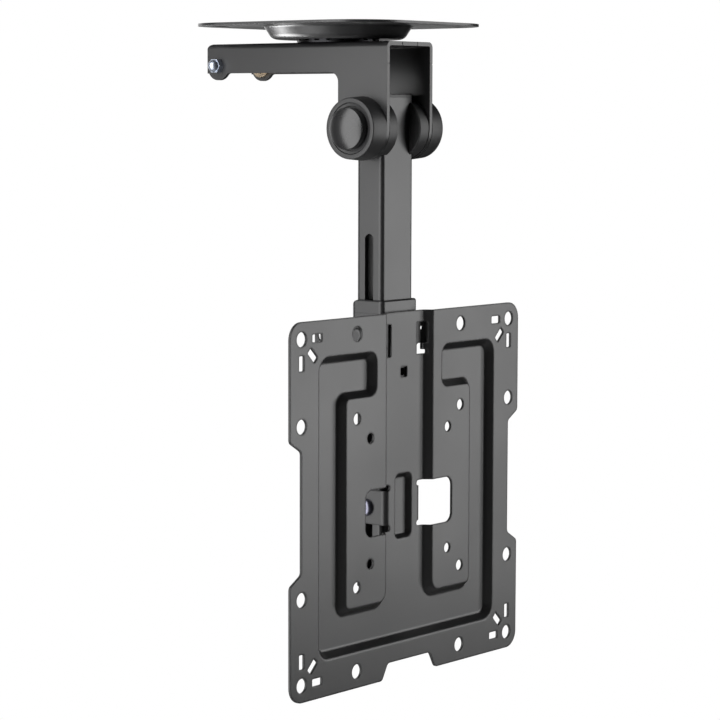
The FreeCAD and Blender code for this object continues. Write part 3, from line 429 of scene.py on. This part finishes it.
def cap_profile(height):
    """Open outline of the domed cap from its underside to the crown, heights from its seat."""
    edge = height - CAP_STEM_DEEP - CAP_RISE
    inner = CAP_STEM_R - CAP_STEM_WALL
    sphere = (CAP_R ** 2 + CAP_RISE ** 2) / (2.0 * CAP_RISE)
    middle = edge + CAP_RISE - sphere
    reach = math.asin((CAP_R - CAP_DOME_INSET) / sphere)
    angles = [reach * k / DOME_STEPS for k in range(DOME_STEPS, -1, -1)]
    dome = [(sphere * math.sin(a), middle + sphere * math.cos(a), 0.0) for a in angles]
    return rounded([
        (0.0, 0.0, 0.0), (inner, 0.0, 0.0), (inner, -CAP_STEM_DEEP, 0.0),
        (CAP_STEM_R, -CAP_STEM_DEEP, 0.0), (CAP_STEM_R, 0.0, 0.0), (CAP_R, 0.0, 0.0),
        (CAP_R, edge, CAP_EDGE_ROUND)] + dome)


def turned(name, outline, base, outward, skin, closed=True):
    """Turned piece on the pivot axis; outward is 1 to the right and -1 to the left."""
    points = [Vector((p.x - CIRCLE_R, p.y)) * MM for p in outline]
    values = {"Circle radius": CIRCLE_R * MM, "Steps": TURNED_STEPS, "Place": base,
              "Turn": Euler((0.0, -outward * math.pi / 2, 0.0)), "Finish": skin}
    return made(name, TURNED_PIECE, profile_mesh(name + "_outline", points, closed), values)


def dress_pivot():
    """Covers and caps of the fold pivot."""
    for side, outward in (("left", -1), ("right", 1)):
        low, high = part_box("pivot_cover_" + side)
        arm_face = low[0] if outward > 0 else high[0]
        centre = Vector((arm_face, (low[1] + high[1]) / 2, (low[2] + high[2]) / 2))
        depth = (high[0] - low[0]) / MM
        foot_r = (high[1] - low[1]) / MM / 2
        cover = turned("cover_" + side, cover_profile(depth, foot_r), centre, outward,
                       MOULDED_PLASTIC)
        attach(cover, "arm")
        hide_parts("pivot_cover_" + side)
        low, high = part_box("pivot_cap_" + side)
        height = (high[0] - low[0]) / MM
        seat = centre + Vector((outward * (depth - COVER_SEAT_DEEP) * MM, 0.0, 0.0))
        cap = turned("cap_" + side, cap_profile(height), seat, outward, GLOSSY_PLASTIC,
                     closed=False)
        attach(cap, "arm")
        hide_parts("pivot_cap_" + side)


def pale_floor(height):
    """Wide plain floor that lights and reflects as pale grey, and reads white to the camera."""
    mesh = bpy.data.meshes.new("floor")
    corners = [(x * FLOOR_HALF, y * FLOOR_HALF, height)
               for x, y in ((-1, -1), (1, -1), (1, 1), (-1, 1))]
    mesh.from_pydata(corners, [], [(0, 1, 2, 3)])
    floor = bpy.data.objects.new("floor", mesh)
    bpy.context.scene.collection.objects.link(floor)
    material = bpy.data.materials.new("pale_floor")
    material.use_nodes = True
    tree = material.node_tree
    surface = tree.nodes["Principled BSDF"]
    surface.inputs["Base Color"].default_value = (FLOOR_TONE, FLOOR_TONE, FLOOR_TONE, 1.0)
    surface.inputs["Roughness"].default_value = FLOOR_ROUGHNESS
    glow = tree.nodes.new("ShaderNodeEmission")
    glow.inputs["Color"].default_value = WHITE
    ray = tree.nodes.new("ShaderNodeLightPath")
    amount = tree.nodes.new("ShaderNodeMath")
    amount.operation = "MULTIPLY"
    amount.inputs[1].default_value = FLOOR_WHITE
    mix = tree.nodes.new("ShaderNodeMixShader")
    linked(tree, ray.outputs["Is Camera Ray"], amount.inputs[0])
    linked(tree, amount.outputs["Value"], mix.inputs["Fac"])
    linked(tree, surface.outputs["BSDF"], mix.inputs[1])
    linked(tree, glow.outputs["Emission"], mix.inputs[2])
    linked(tree, mix.outputs["Shader"], tree.nodes["Material Output"].inputs["Surface"])
    mesh.materials.append(material)


def plain_world():
    """White for the camera, a low even level for light, and a bright side in reflections."""
    world = bpy.data.worlds.new("studio")
    bpy.context.scene.world = world
    world.use_nodes = True
    tree = world.node_tree
    tree.nodes.clear()
    ray = tree.nodes.new("ShaderNodeLightPath")
    way = tree.nodes.new("ShaderNodeTexCoord")
    towards = tree.nodes.new("ShaderNodeVectorMath")
    towards.operation = "DOT_PRODUCT"
    towards.inputs[1].default_value = BACKDROP_WAY
    backdrop = tree.nodes.new("ShaderNodeMapRange")
    backdrop.interpolation_type = "SMOOTHSTEP"
    backdrop.inputs["From Min"].default_value = BACKDROP_EDGE[0]
    backdrop.inputs["From Max"].default_value = BACKDROP_EDGE[1]
    backdrop.inputs["To Min"].default_value = ROOM_LEVEL
    backdrop.inputs["To Max"].default_value = BACKDROP_LEVEL
    level = tree.nodes.new("ShaderNodeMix")
    level.inputs["A"].default_value = ROOM_LEVEL
    fill = tree.nodes.new("ShaderNodeBackground")
    seen = tree.nodes.new("ShaderNodeBackground")
    seen.inputs["Color"].default_value = WHITE
    mix = tree.nodes.new("ShaderNodeMixShader")
    out = tree.nodes.new("ShaderNodeOutputWorld")
    linked(tree, way.outputs["Generated"], towards.inputs[0])
    linked(tree, towards.outputs["Value"], backdrop.inputs["Value"])
    linked(tree, ray.outputs["Is Glossy Ray"], level.inputs["Factor"])
    linked(tree, backdrop.outputs["Result"], level.inputs["B"])
    linked(tree, level.outputs["Result"], fill.inputs["Strength"])
    linked(tree, ray.outputs["Is Camera Ray"], mix.inputs["Fac"])
    linked(tree, fill.outputs["Background"], mix.inputs[1])
    linked(tree, seen.outputs["Background"], mix.inputs[2])
    linked(tree, mix.outputs["Shader"], out.inputs["Surface"])


def softbox(name, target, way, far, wide, high, power):
    """Rectangular lamp aimed at the target; the camera doesn't see the lamp itself."""
    lamp = bpy.data.lights.new(name, "AREA")
    lamp.shape = "RECTANGLE"
    lamp.size = wide
    lamp.size_y = high
    lamp.energy = power
    box = bpy.data.objects.new(name, lamp)
    outward = Vector(way).normalized()
    box.location = target + outward * far
    box.rotation_euler = outward.to_track_quat("Z", "Y").to_euler()
    box.visible_camera = False
    bpy.context.scene.collection.objects.link(box)
    return box


def studio(middle, dish):
    """Soft light from all sides, and a low card that lights only the ceiling plate."""
    for name, sizes in SOFTBOXES.items():
        softbox(name, middle, **sizes)
    card = softbox("low_card", dish, **DISH_CARD)
    plate_only = bpy.data.collections.new("lit_by_low_card")
    plate_only.objects.link(frame["nodes"]["ceiling_plate"])
    card.light_linking.receiver_collection = plate_only


def camera():
    """Camera at the picture's place and angle."""
    lens = bpy.data.cameras.new("camera")
    lens.sensor_width = SENSOR_MM
    lens.lens = FOCAL_PIXELS / IMAGE_PIXELS * SENSOR_MM
    lens.clip_start = CLIP_NEAR
    lens.clip_end = CLIP_FAR
    body = bpy.data.objects.new("camera", lens)
    turn = (Matrix.Rotation(CAMERA_YAW, 4, "Z")
            @ Matrix.Rotation(math.pi / 2 + CAMERA_PITCH, 4, "X")
            @ Matrix.Rotation(CAMERA_ROLL, 4, "Z"))
    body.matrix_world = Matrix.Translation(CAMERA_PLACE) @ turn
    bpy.context.scene.collection.objects.link(body)
    bpy.context.scene.camera = body


dress_nodes()
dress_pivot()
low, high = Vector(cad_box[0]), Vector(cad_box[1])
pale_floor(low.z - FLOOR_BELOW)
plain_world()
studio((low + high) / 2, Vector((0.0, 0.0, DISH_MIDDLE_Z * MM)))
camera()
bpy.context.scene.view_settings.view_transform = "Standard"
